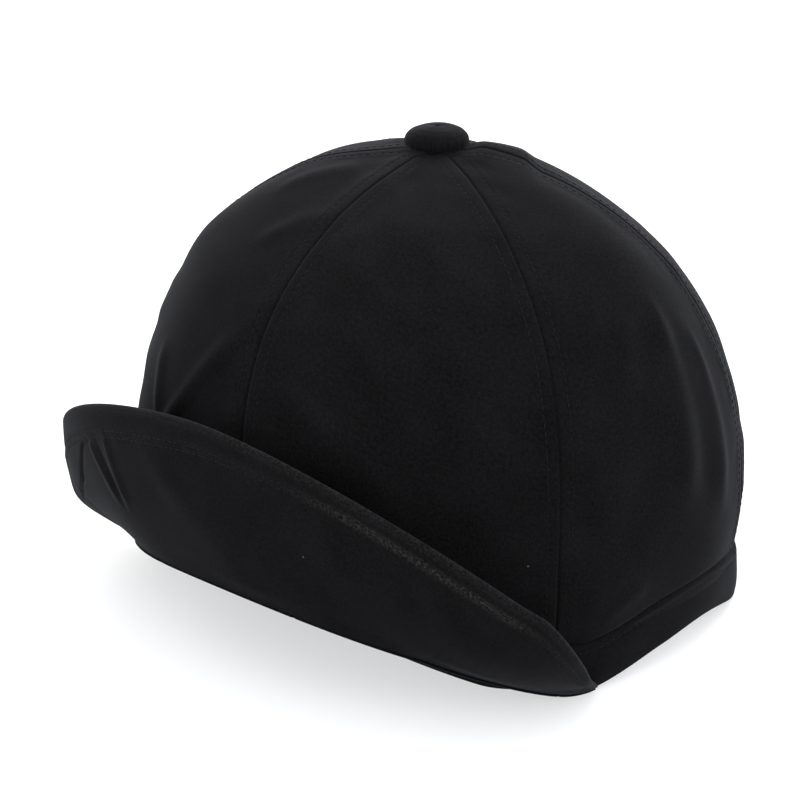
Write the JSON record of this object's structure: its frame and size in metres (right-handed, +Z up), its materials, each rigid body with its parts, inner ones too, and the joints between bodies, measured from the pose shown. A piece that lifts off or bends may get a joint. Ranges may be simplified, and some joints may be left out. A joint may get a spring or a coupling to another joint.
{
  "type": "bump cap",
  "caption": "Soft six-panel black cloth bump cap with a turned-up stitched brim, covered top button, and a padded vented plastic impact shell inside.",
  "frame": {"origin": "centre of the whole cap's footprint, on the plane that its band stands on", "axes": "+Z up through the crown, -Y towards the front of the cap and its brim, +X to the viewer's right when facing along +Y"},
  "size_m": [0.2212, 0.2018, 0.1564],
  "materials": {
    "black_plastic": "satin",
    "board": "satin",
    "foam": "matte closed-cell foam",
    "hook": "matte hook and loop",
    "shell": "satin moulded",
    "tape": "matte woven tape",
    "terry": "brushed terry",
    "twill": "matte cotton twill",
    "zinc": "satin"
  },
  "bodies": {
    "crown": {"band_front": "twill", "band_left": "twill", "band_right": "twill", "brow_pad": "foam", "bump_shell": "shell", "button_core": "zinc", "button_cover": "twill", "button_stud": "zinc", "crown_panel_front_left": "twill", "crown_panel_front_right": "twill", "crown_panel_rear_left": "twill", "crown_panel_rear_right": "twill", "crown_panel_side_left": "twill", "crown_panel_side_right": "twill", "insert_hook_patch_front_left": "hook", "insert_hook_patch_front_right": "hook", "insert_hook_patch_rear_left": "hook", "insert_hook_patch_rear_right": "hook", "insert_loop_patch_front_left": "hook", "insert_loop_patch_front_right": "hook", "insert_loop_patch_rear_left": "hook", "insert_loop_patch_rear_right": "hook", "opening_binding": "tape", "pad_crown": "foam", "pad_front": "foam", "pad_left": "foam", "pad_rear": "foam", "pad_right": "foam", "seam_tape_front": "tape", "seam_tape_left_front": "tape", "seam_tape_left_rear": "tape", "seam_tape_rear": "tape", "seam_tape_right_front": "tape", "seam_tape_right_rear": "tape", "slide_tab": "twill", "strap": "twill", "strap_loop_patch": "hook", "strap_slide": "black_plastic", "sweatband": "terry"},
    "brim_centre": {"brim_board_centre": "board", "brim_lower_cloth_centre": "twill", "brim_upper_cloth_centre": "twill"},
    "brim_right": {"brim_board_right": "board", "brim_lower_cloth_right": "twill", "brim_upper_cloth_right": "twill"},
    "brim_left": {"brim_board_left": "board", "brim_lower_cloth_left": "twill", "brim_upper_cloth_left": "twill"},
    "brim_right_wing": {"brim_board_right_wing": "board", "brim_lower_cloth_right_wing": "twill", "brim_upper_cloth_right_wing": "twill"},
    "brim_left_wing": {"brim_board_left_wing": "board", "brim_lower_cloth_left_wing": "twill", "brim_upper_cloth_left_wing": "twill"},
    "strap_tail": {"strap_hook_patch": "hook", "strap_tail": "twill"}
  },
  "joints": [
    {"name": "brim_fold", "type": "hinge", "parent": "crown", "child": "brim_centre", "pos_m": [0, -0.09076, 0.03054], "axis": [1, 0, 0], "range_deg": [0, 105]},
    {"name": "brim_fold_right", "type": "hinge", "parent": "crown", "child": "brim_right", "pos_m": [0.04944, -0.07795, 0.02379], "axis": [0.8113, 0.5171, -0.2727], "range_deg": [0, 103.2]},
    {"name": "brim_fold_right_wing", "type": "hinge", "parent": "crown", "child": "brim_right_wing", "pos_m": [0.08082, -0.04407, 0.00927], "axis": [0.4492, 0.8383, -0.309], "range_deg": [0, 93.3]},
    {"name": "brim_fold_left", "type": "hinge", "parent": "crown", "child": "brim_left", "pos_m": [-0.04944, -0.07795, 0.02379], "axis": [0.8113, -0.5171, 0.2727], "range_deg": [0, 103.2]},
    {"name": "brim_fold_left_wing", "type": "hinge", "parent": "crown", "child": "brim_left_wing", "pos_m": [-0.08082, -0.04407, 0.00927], "axis": [0.4492, -0.8383, 0.309], "range_deg": [0, 93.3]},
    {"name": "strap_tail_peel", "type": "hinge", "parent": "crown", "child": "strap_tail", "pos_m": [0.02212, 0.09846, 0.014], "axis": [0, 0, -1], "range_deg": [0, 150]}
  ],
  "couplings": [
    {"joint": "brim_fold_right", "follows": "brim_fold", "ratio": 0.9783},
    {"joint": "brim_fold_right_wing", "follows": "brim_fold", "ratio": 0.884},
    {"joint": "brim_fold_left", "follows": "brim_fold", "ratio": 0.9783},
    {"joint": "brim_fold_left_wing", "follows": "brim_fold", "ratio": 0.884}
  ]
}
